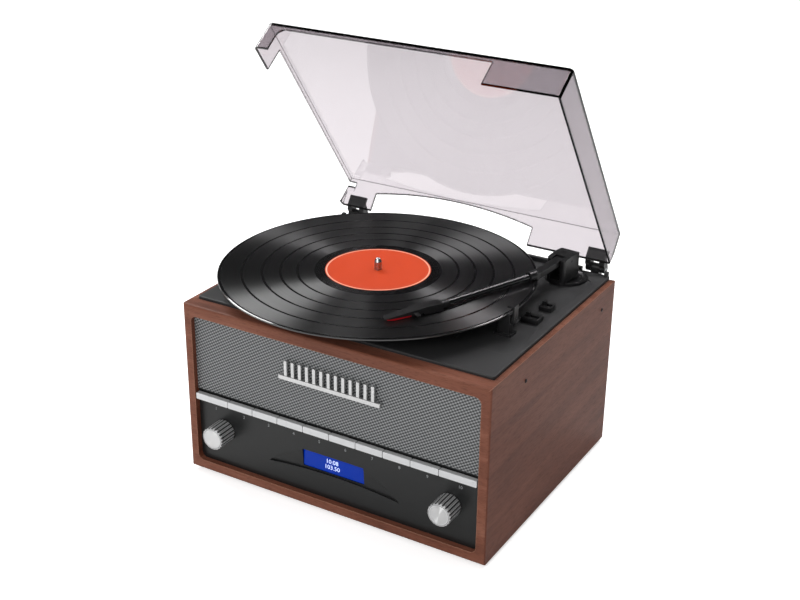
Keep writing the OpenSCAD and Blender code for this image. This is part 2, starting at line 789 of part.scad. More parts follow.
module arm_base() {
    color(black_colour) translate([arm_x, arm_y, 0]) rotate_extrude() polygon([
        [0, pocket_z], [arm_base_d / 2, pocket_z], [arm_base_d / 2, base_top_z - 0.8],
        [arm_base_d / 2 - 0.8, base_top_z], [arm_base_d / 2 - 3, base_top_z], [arm_base_d / 2 - 5, base_top_z - 1.2],
        [arm_post_d / 2 + 4, base_top_z - 1.2], [arm_post_d / 2 + 3, base_top_z],
        [arm_post_d / 2, base_top_z], [arm_post_d / 2, post_top_z], [0, post_top_z]
    ]);
}

// Side view of the housing: arched top with ribs across it, round at the rear
module housing_side() {
    rib_n = 6;
    rib_step = 1.7;
    rear_r = 3;
    top = housing_z1 - tube_z;
    foot = housing_z0 - tube_z;
    len = housing_front + housing_rear;
    difference() {
        intersection() {
            translate([housing_peak, top - housing_arch_r]) circle(housing_arch_r, $fn = 180);
            union() {
                translate([-housing_rear, foot]) square([len, top - foot - rear_r]);
                translate([rear_r - housing_rear, foot]) square([len - rear_r, top - foot + 1]);
                translate([rear_r - housing_rear, top - rear_r]) circle(rear_r);
            }
        }
        for (i = [0:rib_n - 1])
            translate([housing_peak, top - housing_arch_r]) rotate(92.5 - i * rib_step)
                translate([housing_arch_r, 0]) circle(0.45, $fn = 16);
    }
}

module arm_housing() {
    color(black_colour) along(arm_p, carrier_yaw) difference() {
        union() {
            intersection() {
                rotate([90, 0, 0]) translate([0, 0, -housing_w / 2]) linear_extrude(housing_w) housing_side();
                translate([(housing_front - housing_rear) / 2, 0, housing_z0 - tube_z])
                    linear_extrude(housing_z1 - housing_z0 + 1)
                        round_rect(housing_front + housing_rear, housing_w, housing_r);
            }
            translate([0, 0, housing_z0 - tube_z]) cylinder(d = housing_w + 4, h = 1.6);
        }
        // Slot for the carrier, open at the front and, ahead of the cover, at the top
        translate([3, -housing_slot_w / 2, pin_z - tube_z - carrier_h / 2 - 1.6])
            cube([40, housing_slot_w, carrier_h + 2.2]);
        translate([pin_u + 4, -housing_slot_w / 2, pin_z - tube_z]) cube([40, housing_slot_w, 20]);
        translate([arm_post_d / 2 + 4, -housing_slot_w / 2, housing_z0 - tube_z + 2.6]) cube([40, housing_slot_w, 12]);
        translate([0, 0, housing_z0 - tube_z - 1]) cylinder(d = arm_post_d + 2 * run_fit, h = post_top_z - housing_z0 + 1.5);
        translate([pin_u, housing_w, pin_z - tube_z]) rotate([90, 0, 0])
            cylinder(d = lift_pin_d + 2 * tight_fit, h = 2 * housing_w);
    }
}

module lift_pin() {
    color("silver") along(arm_p, carrier_yaw) translate([pin_u, housing_w / 2 - 0.6, pin_z - tube_z])
        rotate([90, 0, 0]) cylinder(d = lift_pin_d, h = housing_w - 1.2);
}

socket_len = 9;
socket_in = 7;
tube_socket_d = 9;

module arm_carrier() {
    tail = 4;
    color(black_colour) difference() {
        union() {
            along(arm_p, carrier_yaw) translate([pin_u - tail, -carrier_w / 2, pin_z - tube_z - carrier_h / 2])
                cube([carrier_len - pin_u + tail, carrier_w, carrier_h]);
            // Round turn at the bend
            along(bend_p, tube_yaw) translate([0, 0, pin_z - tube_z - carrier_h / 2])
                cylinder(d = tube_socket_d, h = tube_z + tube_socket_d / 2 - pin_z + carrier_h / 2 - 1);
            along(bend_p, tube_yaw) rotate([0, 90, 0]) cylinder(d = tube_socket_d, h = socket_len);
        }
        // Flat underside, clear of the record
        translate([arm_x - 60, arm_y - 120, record_z - 20]) cube([120, 120, 20 + pin_z - carrier_h / 2 - record_z]);
        along(arm_p, carrier_yaw) translate([pin_u, housing_w, pin_z - tube_z]) rotate([90, 0, 0])
            cylinder(d = lift_pin_d + 2 * run_fit, h = 2 * housing_w);
        along(bend_p, tube_yaw) translate([socket_len - socket_in, 0, 0]) rotate([0, 90, 0])
            cylinder(d = tube_d + 2 * tight_fit, h = tube_len);
    }
}

collar_len = 9;
collar_d = 8;
collar_in = 6;

module arm_tube() {
    color([0.25, 0.25, 0.26]) along(bend_p, tube_yaw) translate([socket_len - socket_in, 0, 0]) rotate([0, 90, 0])
        cylinder(d = tube_d, h = tube_len - (socket_len - socket_in) - collar_len + collar_in);
}

shell_w0 = 11;
shell_w1 = 8;
shell_top = 3.6;
shell_low = -3.4;
shell_seat = -1.2;
cartridge_back = 36;
cartridge_len = 11;
stylus_back = 8;
stylus_gap = 0.3;

module headshell() {
    color(black_colour) {
        difference() {
            union() {
                along(bend_p, tube_yaw) translate([tube_len - collar_len, 0, 0]) rotate([0, 90, 0])
                    cylinder(d = collar_d - 1, h = collar_len + 2);
                along(shell_p, shell_yaw) intersection() {
                    rotate([90, 0, 0]) translate([0, 0, -shell_w0]) linear_extrude(2 * shell_w0) polygon([
                        [-1, shell_low], [-1, shell_top], [16, shell_top], [shell_len, -0.2],
                        [shell_len, shell_seat], [shell_len - cartridge_back, shell_seat],
                        [shell_len - cartridge_back - 2, shell_low]
                    ]);
                    translate([0, 0, -10]) linear_extrude(20) polygon([
                        [-1, -shell_w0 / 2], [-1, shell_w0 / 2], [14, shell_w0 / 2], [shell_len - 3, shell_w1 / 2],
                        [shell_len, shell_w1 / 2 - 1.5], [shell_len, -shell_w1 / 2 + 1.5],
                        [shell_len - 3, -shell_w1 / 2], [14, -shell_w0 / 2]
                    ]);
                }
                // Finger lift
                along(shell_p, shell_yaw) translate([27, shell_w0 / 2 + 1, -0.2]) linear_extrude(1.1)
                    round_rect(4, 12, 1.9);
            }
            along(bend_p, tube_yaw) translate([tube_len - collar_len - 1, 0, 0]) rotate([0, 90, 0])
                cylinder(d = tube_d + 2 * tight_fit, h = collar_in + 1.2);
        }
    }
}

// Block under the headshell that holds the stylus
module cartridge() {
    w = 7.2;
    color([0.08, 0.08, 0.08]) along(shell_p, shell_yaw)
        translate([shell_len - cartridge_back, -w / 2, shell_low]) cube([cartridge_len, w, shell_seat - shell_low]);
}

module stylus_holder() {
    w = 6.4;
    x0 = shell_len - cartridge_back + cartridge_len;
    tip_z = stylus_gap - tube_rise;
    color([0.75, 0.08, 0.08]) along(shell_p, shell_yaw) {
        rotate([90, 0, 0]) translate([0, 0, -w / 2]) linear_extrude(w) polygon([
            [x0, shell_seat], [x0, shell_low + 0.2], [shell_len - stylus_back, shell_low],
            [shell_len - 1.5, -2.2], [shell_len - 1.5, shell_seat]
        ]);
        translate([shell_len - stylus_back, 0, tip_z]) cylinder(d = 0.8, h = shell_low + 0.5 - tip_z);
    }
}

// Arm rest with its clip
rest_w = 12.4;
rest_d = 8;
rest_gap = 0.5;
rest_floor = tube_z - tube_d / 2 - rest_gap;
clip_t = 1.8;
clip_x = park_x + tube_d / 2 + 0.7 + clip_t / 2;
clip_z = rest_floor - 6;
clip_pin_r = 1.4;
clip_ear_r = 2.3;
lug_w = 3.2;

module arm_rest() {
    color(black_colour) difference() {
        union() {
            translate([rest_x, rest_y, pocket_z]) linear_extrude(rest_floor - pocket_z) round_rect(rest_w, rest_d, 1);
            translate([rest_x, rest_y, pocket_z]) linear_extrude(2) round_rect(rest_w + 5, rest_d + 5, 2);
            // Lug that carries the clip
            translate([rest_x + rest_w / 2 - 1, rest_y - lug_w / 2, clip_z - clip_ear_r])
                cube([clip_x - rest_x - rest_w / 2 + 1, lug_w, 2 * clip_ear_r]);
            rod_y(clip_x, rest_y - lug_w / 2, clip_z, 2 * clip_ear_r, lug_w);
        }
        rod_y(clip_x, rest_y - 5, clip_z, 2 * (clip_pin_r + run_fit), 10);
        // Shallow cradle for the parked tube
        rod_y(park_x, rest_y - rest_d, tube_z, tube_d + 2 * rest_gap + 0.4, 2 * rest_d);
        // Room for the edge of the record
        translate([spindle_x, spindle_y, mat_z - 0.7]) cylinder(d = record_d + 2, h = 20, $fn = 180);
    }
}

// One cheek of the clip, from its pin up to the leaf
module clip_cheek(y) {
    translate([0, y + clip_t / 2, 0]) rotate([90, 0, 0]) linear_extrude(clip_t) union() {
        translate([clip_x, clip_z]) circle(clip_ear_r);
        translate([clip_x - clip_t / 2, clip_z]) square([clip_t, clip_ear_r + 3]);
    }
}

module arm_clip() {
    hook_z = tube_z + tube_d / 2 + 0.6;
    leaf_z = clip_z + clip_ear_r + 0.5;
    hook_x = park_x - 1.5;
    color(black_colour) {
        rod_y(clip_x, rest_y - rest_d / 2 + 0.1, clip_z, 2 * clip_pin_r, rest_d - 0.2);
        for (s = [-1, 1]) clip_cheek(rest_y + s * (lug_w / 2 + pass_gap + clip_t / 2));
        translate([clip_x - clip_t / 2, rest_y - rest_d / 2, leaf_z]) cube([clip_t, rest_d, hook_z + 1.6 - leaf_z]);
        translate([hook_x, rest_y - rest_d / 2, hook_z]) cube([clip_x + clip_t / 2 - hook_x, rest_d, 1.6]);
    }
}

// Two slide switches on the deck
cover_h = 4.5;
cover_wall = 1.4;
cover_d = [14, 11];
cover_w = [17, 13];

module switch_cover(p, w, d, travel) {
    translate([p[0], p[1], pocket_z]) difference() {
        soft_block(w, d, cover_h, 1.2, 1);
        translate([0, 0, -1]) linear_extrude(cover_h - cover_wall + 1) square([w - 2 * cover_wall, d - 2 * cover_wall], center = true);
        translate([0, 0, -1]) linear_extrude(cover_h + 2) square([travel + lever_len + 2 * pass_gap, lever_slot_w], center = true);
    }
}

module switch_covers() {
    color(black_colour) {
        switch_cover(switch_speed, cover_w[0], cover_d[0], speed_travel);
        switch_cover(switch_stop, cover_w[1], cover_d[1], stop_travel);
    }
}

module lever(p, travel) {
    color([0.22, 0.22, 0.23]) translate([p[0] - travel / 2, p[1], 0]) {
        translate([0, 0, deck_under_z - 3]) linear_extrude(pocket_z + cover_h + 3.5 - deck_under_z + 3)
            round_rect(lever_len, lever_w, 0.6);
        translate([0, 0, pocket_z + 0.4]) linear_extrude(1.6) square([lever_len, lever_w + 3], center = true);
    }
}

module speed_lever() {
    lever(switch_speed, speed_travel);
}

module stop_lever() {
    lever(switch_stop, stop_travel);
}

// Lid
front_cut = [-132, 82];
front_curve = 8;
side_cut = [-92, lid_fold_y + 3];
arch_cut = [-118, 65];
arch_low = 18;
arch_high = 27;

module lid_profile(inset) {
    k = inset / lid_h * lid_back_slope;
    slant = inset * sqrt(1 + pow(lid_back_slope / lid_h, 2));
    low = inset > 0 ? 5 : 0;
    run = lid_back_slope / lid_h;
    polygon([
        [lid_y0 + inset, lid_z0 - low], [lid_y0 + inset, lid_z1 - inset],
        [lid_fold_y + run * inset - slant, lid_z1 - inset], [lid_y1 + run * low - slant, lid_z0 - low]
    ]);
}

module lid_shell(inset) {
    r = 4 - inset;
    intersection() {
        side_view(0, lid_w - 2 * inset) lid_profile(inset);
        translate([0, (lid_y0 + lid_y1) / 2, lid_z0 - 10]) linear_extrude(lid_h + 20)
            round_rect(lid_w - 2 * inset, lid_y1 - lid_y0 - 2 * inset + (inset > 0 ? 4 : 0), r);
    }
}

// The front cut-out: S-curve at its left end, step at its right end
module front_cut_shape() {
    top = lid_z1 - lid_rim;
    difference() {
        translate([front_cut[0] - front_curve, lid_z0 - 10])
            square([front_cut[1] - front_cut[0] + front_curve, top - lid_z0 + 10]);
        translate([front_cut[0] - front_curve, top - front_curve]) difference() {
            translate([-1, 0]) square([front_curve + 1, front_curve + 1]);
            translate([front_curve, 0]) circle(front_curve);
        }
    }
}

// The arch in the back wall that the record's edge passes under
module arch_shape() {
    half = (arch_cut[1] - arch_cut[0]) / 2;
    bow = arch_high - arch_low;
    r = (half * half + bow * bow) / (2 * bow);
    translate([(arch_cut[0] + arch_cut[1]) / 2, lid_z0]) intersection() {
        translate([0, arch_high - r]) circle(r, $fn = 256);
        translate([-half, -10]) square([2 * half, arch_high + 10]);
    }
}

module lid() {
    color(smoke_colour) opened() difference() {
        lid_shell(0);
        lid_shell(lid_wall);
        facing(lid_y0 - 5, 15) front_cut_shape();
        translate([-lid_w / 2 - 5, side_cut[0], lid_z0 - 10])
            cube([15, side_cut[1] - side_cut[0], lid_h - lid_rim + 10]);
        facing(lid_fold_y - 10, 40) arch_shape();
    }
}

// Hinges
leaf_t = 3;
leaf_h = 12;
leaf_ear = 5.5;
knuckle_w = hinge_w - 2 * leaf_ear - 2 * pass_gap;
back_unit = [-lid_back_slope, lid_h] / norm([lid_back_slope, lid_h]);
back_normal = [back_unit[1], -back_unit[0]];

module hinge_leaves() {
    foot = [lid_y1, lid_z0] + 1 * back_unit;
    head = foot + leaf_h * back_unit;
    color(black_colour) opened() for (s = [-1, 1]) difference() {
        union() {
            side_view(s * hinge_x, hinge_w) polygon([
                foot, head, head + leaf_t * back_normal, foot + 7 * back_unit + leaf_t * back_normal,
                foot + leaf_t * back_normal
            ]);
            for (e = [-1, 1]) side_view(s * hinge_x + e * (hinge_w - leaf_ear) / 2, leaf_ear) union() {
                translate([hinge_y, hinge_z]) circle(hinge_r);
                polygon([
                    foot + 0.3 * back_normal, foot + 8 * back_unit + 0.3 * back_normal,
                    [hinge_y, hinge_z + hinge_r], [hinge_y, hinge_z - hinge_r + 2], [hinge_y - 8, hinge_z - 2]
                ]);
            }
        }
        translate([s * hinge_x - hinge_w, hinge_y, hinge_z]) rotate([0, 90, 0])
            cylinder(d = hinge_pin_d + 2 * run_fit, h = 2 * hinge_w);
    }
}

bracket_t = 3;
bracket_h = 30;
bracket_top = hinge_z - hinge_r - 1;

module hinge_brackets() {
    color(black_colour) for (s = [-1, 1]) difference() {
        union() {
            translate([s * hinge_x - hinge_w / 2, back_y, bracket_top - bracket_h])
                cube([hinge_w, bracket_t, bracket_h]);
            side_view(s * hinge_x, knuckle_w) union() {
                translate([hinge_y, hinge_z]) circle(hinge_r);
                translate([hinge_y - hinge_r, bracket_top - 10]) square([2 * hinge_r, 10 + hinge_z - bracket_top]);
            }
        }
        translate([s * hinge_x - hinge_w, hinge_y, hinge_z]) rotate([0, 90, 0])
            cylinder(d = hinge_pin_d + 2 * tight_fit, h = 2 * hinge_w);
    }
}

module hinge_pins() {
    color("silver") for (s = [-1, 1]) translate([s * hinge_x - hinge_w / 2, hinge_y, hinge_z])
        rotate([0, 90, 0]) cylinder(d = hinge_pin_d, h = hinge_w);
}

cabinet();
bottom_board();
back_panel();
feet();
deck_plate();
grille();
baffle_board();
badge();
control_panel();
control_board();
display_window();
display_module();
button(0);  // button_1
button(1);  // button_2
button(2);  // button_3
button(3);  // button_4
button(4);  // button_5
button(5);  // button_6
button(6);  // button_7
button(7);  // button_8
button(8);  // button_9
button(9);  // button_10
knob(-knob_x);  // volume_knob
knob_cap(-knob_x);  // volume_cap
knob_shaft(-knob_x);  // volume_shaft
knob(knob_x);  // tuning_knob
knob_cap(knob_x);  // tuning_cap
knob_shaft(knob_x);  // tuning_shaft
encoders();
speaker_frames();
speaker_cones();
main_board();
rear_sockets();
platter();
platter_mat();
spindle();
bearing_bush();
record();
record_label();
motor();
motor_pulley();
drive_belt();
arm_base();
arm_housing();
lift_pin();
arm_carrier();
arm_tube();
headshell();
cartridge();
stylus_holder();
arm_rest();
arm_clip();
switch_covers();
speed_lever();
stop_lever();
lid();
hinge_brackets();
hinge_leaves();
hinge_pins();
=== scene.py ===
import math

import bmesh
import bpy
from mathutils import Matrix, Vector


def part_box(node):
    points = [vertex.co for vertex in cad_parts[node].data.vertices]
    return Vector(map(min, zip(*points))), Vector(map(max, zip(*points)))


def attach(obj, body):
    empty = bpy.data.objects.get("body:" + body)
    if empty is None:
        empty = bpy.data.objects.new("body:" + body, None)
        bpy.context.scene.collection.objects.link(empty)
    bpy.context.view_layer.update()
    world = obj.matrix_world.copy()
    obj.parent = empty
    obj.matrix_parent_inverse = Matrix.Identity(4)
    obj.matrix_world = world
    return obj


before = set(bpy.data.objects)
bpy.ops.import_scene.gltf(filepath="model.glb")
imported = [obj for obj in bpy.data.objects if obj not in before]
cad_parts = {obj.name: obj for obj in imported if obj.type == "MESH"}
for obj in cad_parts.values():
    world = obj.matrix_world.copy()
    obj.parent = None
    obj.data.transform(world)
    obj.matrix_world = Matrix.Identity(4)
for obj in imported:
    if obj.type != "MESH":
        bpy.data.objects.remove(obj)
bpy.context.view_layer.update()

mm = 0.001
perMetre = 1000  # noises and waves are counted per metre, their sizes are in millimetres
fullTurn = 2 * math.pi
white = (1, 1, 1, 1)
bevelSamples = 4
# A Mix node takes its factor at 0, floats at 2 and 3, vectors at 4 and 5, colours at 6 and 7.
# It gives a vector at 1 and a colour at 2.
blended = {"data_type": "RGBA"}
multiplied = {"data_type": "RGBA", "blend_type": "MULTIPLY"}


def linear(hexText):  # sRGB hex to the linear values that Cycles takes
    parts = [int(hexText[i:i + 2], 16) / 255 for i in (1, 3, 5)]
    return tuple(p / 12.92 if p <= 0.04045 else ((p + 0.055) / 1.055) ** 2.4 for p in parts) + (1,)


def feed(tree, node, inputs):  # nodes and sockets are linked, anything else is set as a value
    for name, value in inputs.items():
        if isinstance(value, bpy.types.Node):
            value = value.outputs[0]
        if isinstance(value, bpy.types.NodeSocket):
            tree.links.new(value, node.inputs[name])
        else:
            node.inputs[name].default_value = value


def add(tree, kind, inputs=None, stops=None, **settings):  # one shader node with its settings and links
    made = tree.nodes.new("ShaderNode" + kind)
    for name, value in settings.items():
        setattr(made, name, value)
    if stops:
        ramp = made.color_ramp.elements
        while len(ramp) < len(stops):
            ramp.new(0.5)
        for point, (place, colour) in zip(ramp, stops):
            point.position = place
            point.color = colour
    feed(tree, made, inputs or {})
    return made


def startMaterial(name):
    material = bpy.data.materials.new(name)
    material.use_nodes = True
    tree = material.node_tree
    return material, tree, tree.nodes["Principled BSDF"]


def fromAxis(tree, centre, flatten):  # the way out from an axis in millimetres, and its length
    place = add(tree, "TexCoord")
    away = add(tree, "VectorMath", {0: place.outputs["Object"], 1: centre}, operation="SUBTRACT")
    out = add(tree, "VectorMath", {0: away, 1: flatten}, operation="MULTIPLY")
    radius = add(tree, "VectorMath", {0: out}, operation="LENGTH")
    return out, radius.outputs["Value"]


def offRing(tree, radius, ring):  # how far a point lies inside or outside a ring
    off = add(tree, "Math", {0: radius, 1: ring}, operation="SUBTRACT")
    return add(tree, "Math", {0: off}, operation="ABSOLUTE")


def edgeTurn(tree, radius):  # the rounded normal, and how far it agrees with the face's own
    rounded = add(tree, "Bevel", {"Radius": radius * mm}, samples=bevelSamples)
    straight = add(tree, "NewGeometry")
    turned = add(tree, "VectorMath", {0: rounded, 1: straight.outputs["Normal"]}, operation="DOT_PRODUCT")
    return rounded, turned.outputs["Value"]


def dress(names, material):
    for name in names:
        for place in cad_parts[name].material_slots:
            place.material = material


# Walnut veneer, stained and satin lacquered: brown-red figure along the boards, dark pores, painted
# highlights on the rounded edges, painted sheen on all but the side faces
veneer = {
    # edge: the colour of the painted highlight along the rounded edges
    "dark": "#572e20", "mid": "#6b3b2a", "light": "#7d4c39", "edge": "#b5846c", "toneAt": (0.3, 0.5, 0.72),
    "frontPaintedSheen": (1.35, 1.6, 1.8, 1),  # painted sheen: all but the side faces are painted paler, standing in for the floor's light on the front
    "sideTurn": 0.7, "figureLength": 210, "figureWidth": 11, "figureShare": 0.72,
    "figure": {"Scale": 0.6, "Detail": 4, "Roughness": 0.55, "Distortion": 0.9},
    "cloud": {"Scale": 14, "Detail": 2},
    "poreLength": 7, "poreWidth": 0.55, "poreBump": 0.12, "poreDepth": 0.12,
    "pores": {"Scale": 0.8, "Detail": 2, "Roughness": 0.6},
    "poreTone": {"From Min": 0.34, "From Max": 0.47, "To Min": 0.62, "To Max": 1.0},
    # painted highlight: where the rounded normal turns away from the face's own, the edge colour is mixed in
    "roundEdge": 1.3, "wearAndEdgeHighlight": {"From Min": 0.995, "From Max": 0.86, "To Max": 0.8},
    "gloss": {"To Min": 0.56, "To Max": 0.38},  # rough in the pores, smoother on the lacquer between them
    "specular": 0.2,
}


def makeVeneer():
    material, tree, shader = startMaterial("walnutVeneer")
    place = add(tree, "TexCoord")
    point = add(tree, "SeparateXYZ", {0: place.outputs["Object"]})
    facing = add(tree, "SeparateXYZ", {0: place.outputs["Normal"]})
    side = add(tree, "Math", {0: facing.outputs[0]}, operation="ABSOLUTE")
    onSide = add(tree, "Math", {0: side, 1: veneer["sideTurn"]}, operation="GREATER_THAN")
    alongSide = add(tree, "CombineXYZ", {0: point.outputs[1], 1: point.outputs[0], 2: point.outputs[2]})
    grain = add(tree, "Mix", {0: onSide, 4: place.outputs["Object"], 5: alongSide}, data_type="VECTOR")
    figureScale = [perMetre / veneer[k] for k in ("figureLength", "figureWidth", "figureWidth")]
    figurePlace = add(tree, "VectorMath", {0: grain.outputs[1], 1: figureScale}, operation="MULTIPLY")
    figure = add(tree, "TexNoise", {"Vector": figurePlace, **veneer["figure"]})
    poreScale = [perMetre / veneer[k] for k in ("poreLength", "poreWidth", "poreWidth")]
    porePlace = add(tree, "VectorMath", {0: grain.outputs[1], 1: poreScale}, operation="MULTIPLY")
    pores = add(tree, "TexNoise", {"Vector": porePlace, **veneer["pores"]})
    cloud = add(tree, "TexNoise", {"Vector": grain.outputs[1], **veneer["cloud"]})
    mixed = add(tree, "Math", {0: figure, 1: veneer["figureShare"]}, operation="MULTIPLY")
    mixed = add(tree, "Math", {0: cloud, 1: 1 - veneer["figureShare"], 2: mixed}, operation="MULTIPLY_ADD")
    tones = [linear(veneer[k]) for k in ("dark", "mid", "light")]
    colour = add(tree, "ValToRGB", {0: mixed}, stops=list(zip(veneer["toneAt"], tones)))
    poreTone = add(tree, "MapRange", {"Value": pores, **veneer["poreTone"]})
    stainAndSheen = add(tree, "Mix", {0: 1.0, 6: colour, 7: poreTone}, **multiplied)
    # painted sheen: faces that do not face sideways are multiplied paler
    notSide = add(tree, "Math", {0: 1.0, 1: onSide}, operation="SUBTRACT")
    stainAndSheen = add(tree, "Mix", {0: notSide, 6: stainAndSheen.outputs[2], 7: veneer["frontPaintedSheen"]}, **multiplied)
    rounded, turned = edgeTurn(tree, veneer["roundEdge"])
    # painted highlight along the rounded edges
    paintedEdgeHighlight = add(tree, "MapRange", {"Value": turned, **veneer["wearAndEdgeHighlight"]})
    withEdgeHighlight = add(tree, "Mix", {0: paintedEdgeHighlight, 6: stainAndSheen.outputs[2], 7: linear(veneer["edge"])}, **blended)
    depth = add(tree, "Bump", {"Height": pores, "Strength": veneer["poreBump"],
                               "Distance": veneer["poreDepth"] * mm, "Normal": rounded})
    gloss = add(tree, "MapRange", {"Value": pores, **veneer["gloss"]})
    feed(tree, shader, {"Base Color": withEdgeHighlight.outputs[2], "Roughness": gloss, "Normal": depth,
                        "Specular IOR Level": veneer["specular"]})
    return material


dress(["cabinet"], makeVeneer())
print("veneer done")

# ABS, injection moulded with a fine spark grain: near black, broken highlights, slight sheen along edges
plastics = {
    "deck": {"colour": "#29292a", "roughness": 0.5, "grain": 0.9, "strength": 0.22, "edge": 0.5},
    "panel": {"colour": "#131414", "roughness": 0.34, "grain": 0.7, "strength": 0.10, "edge": 0.4},
    "arm": {"colour": "#151516", "roughness": 0.3, "grain": 0.6, "strength": 0.06, "edge": 0.3},
    "hinge": {"colour": "#161617", "roughness": 0.36, "grain": 0.6, "strength": 0.08, "edge": 0.3},
    "back": {"colour": "#1f1f20", "roughness": 0.55, "grain": 1.1, "strength": 0.3, "edge": 0.5},
    "red": {"colour": "#b3131d", "roughness": 0.28, "grain": 0.6, "strength": 0.05, "edge": 0.2},
}
moulding = {"patch": {"Scale": 22, "Detail": 3}, "paler": 1.16, "bloom": 0.001, "glossier": 0.05,
            "duller": 0.07, "relief": 0.1}


def makeMoulded(name, look):
    material, tree, shader = startMaterial(name)
    place = add(tree, "TexCoord")
    grain = add(tree, "TexNoise", {"Vector": place.outputs["Object"], "Scale": perMetre / look["grain"],
                                   "Detail": 2})
    patch = add(tree, "TexNoise", {"Vector": place.outputs["Object"], **moulding["patch"]})
    base = linear(look["colour"])
    pale = tuple(min(1, c * moulding["paler"] + moulding["bloom"]) for c in base[:3]) + (1,)
    colour = add(tree, "Mix", {0: patch, 6: base, 7: pale}, **blended)
    gloss = add(tree, "MapRange", {"Value": patch, "To Min": look["roughness"] - moulding["glossier"],
                                   "To Max": look["roughness"] + moulding["duller"]})
    rounded = add(tree, "Bevel", {"Radius": look["edge"] * mm}, samples=bevelSamples)
    depth = add(tree, "Bump", {"Height": grain, "Strength": look["strength"],
                               "Distance": moulding["relief"] * mm, "Normal": rounded})
    feed(tree, shader, {"Base Color": colour.outputs[2], "Roughness": gloss, "Normal": depth})
    return material


dress(["deck_plate"], makeMoulded("mouldedAbsDeck", plastics["deck"]))
dress(["control_panel"], makeMoulded("mouldedAbsPanel", plastics["panel"]))
dress(["arm_base", "arm_housing", "arm_carrier", "headshell", "cartridge", "arm_rest", "arm_clip",
       "switch_covers", "speed_lever", "stop_lever"], makeMoulded("mouldedAbsArm", plastics["arm"]))
dress(["hinge_brackets", "hinge_leaves"], makeMoulded("mouldedAbsHinge", plastics["hinge"]))
dress(["back_panel"], makeMoulded("mouldedAbsBack", plastics["back"]))
print("plastics done")

# Steel wire mesh, woven and painted silver grey: rows of small knuckles on the slant, painted shade on their
# slopes and in the openings between them
mesh = {
    # painted shade: wire is the colour at the crowns, middle on the slopes, gap in the openings
    "wire": "#979899", "middle": "#626465", "gap": "#2e2f30", "toneAt": (0.12, 0.5, 0.8),
    "pitch": 3.0,  # the real wires are finer: drawn at the pitch that shows in the render
    "slant": -0.62, "knuckles": 0.9, "knuckleHeight": 0.7, "bump": 0.6, "relief": 0.4,
    "roughness": 0.45, "metal": 0.3,
}


def makeMesh():
    material, tree, shader = startMaterial("wovenWireMesh")
    place = add(tree, "TexCoord")
    point = add(tree, "SeparateXYZ", {0: place.outputs["Object"]})
    turns = fullTurn * perMetre / mesh["pitch"]
    across = add(tree, "Math", {0: point.outputs[0], 1: turns}, operation="MULTIPLY")
    upward = add(tree, "Math", {0: point.outputs[2], 1: turns}, operation="MULTIPLY")
    slant = add(tree, "Math", {0: across, 1: mesh["slant"], 2: upward}, operation="MULTIPLY_ADD")
    row = add(tree, "Math", {0: slant}, operation="SINE")
    along = add(tree, "Math", {0: upward, 1: -mesh["slant"], 2: across}, operation="MULTIPLY_ADD")
    step = add(tree, "Math", {0: along, 1: mesh["knuckles"]}, operation="MULTIPLY")
    dash = add(tree, "Math", {0: step}, operation="SINE")
    knuckle = add(tree, "Math", {0: dash, 1: mesh["knuckleHeight"], 2: row}, operation="MULTIPLY_ADD")
    peak = 1 + mesh["knuckleHeight"]
    height = add(tree, "MapRange", {"Value": knuckle, "From Min": -peak, "From Max": peak})
    # painted shade: the lower the weave, the darker its colour
    tones = [linear(mesh[k]) for k in ("gap", "middle", "wire")]
    colour = add(tree, "ValToRGB", {0: height}, stops=list(zip(mesh["toneAt"], tones)))
    depth = add(tree, "Bump", {"Height": height, "Strength": mesh["bump"], "Distance": mesh["relief"] * mm})
    feed(tree, shader, {"Base Color": colour, "Normal": depth, "Metallic": mesh["metal"],
                        "Roughness": mesh["roughness"]})
    return material


dress(["grille"], makeMesh())
print("mesh done")

# Chromed zinc, plated ABS, steel and brass: from mirror bright to satin, with faint wiping marks
metals = {
    "badge": {"colour": "#dcdcdc", "roughness": 0.18, "marks": 0.10, "edge": 0.35, "metal": 0.85},
    "button": {"colour": "#e2e3e4", "roughness": 0.32, "marks": 0.08, "edge": 0.35, "metal": 0.45},
    "knob": {"colour": "#f0f0f1", "roughness": 0.3, "marks": 0.08, "edge": 0.08, "metal": 0.4},
    "black": {"colour": "#38383a", "roughness": 0.38, "marks": 0.1, "edge": 0.2, "metal": 1},
    "steel": {"colour": "#b9babd", "roughness": 0.25, "marks": 0.12, "edge": 0.25, "metal": 1},
    "pressed": {"colour": "#8f9194", "roughness": 0.4, "marks": 0.15, "edge": 0.3, "metal": 1},
    "brass": {"colour": "#d9b56a", "roughness": 0.28, "marks": 0.12, "edge": 0.2, "metal": 1},
}
wiping = {"smear": {"Scale": 120, "Detail": 4, "Roughness": 0.6}, "dull": 0.86}


def makeMetal(name, look):
    material, tree, shader = startMaterial(name)
    place = add(tree, "TexCoord")
    smear = add(tree, "TexNoise", {"Vector": place.outputs["Object"], **wiping["smear"]})
    gloss = add(tree, "MapRange", {"Value": smear, "To Min": look["roughness"] - look["marks"] / 2,
                                   "To Max": look["roughness"] + look["marks"]})
    base = linear(look["colour"])
    dull = tuple(c * wiping["dull"] for c in base[:3]) + (1,)
    colour = add(tree, "Mix", {0: smear, 6: base, 7: dull}, **blended)
    rounded = add(tree, "Bevel", {"Radius": look["edge"] * mm}, samples=bevelSamples)
    feed(tree, shader, {"Base Color": colour.outputs[2], "Roughness": gloss, "Normal": rounded,
                        "Metallic": look["metal"]})
    return material


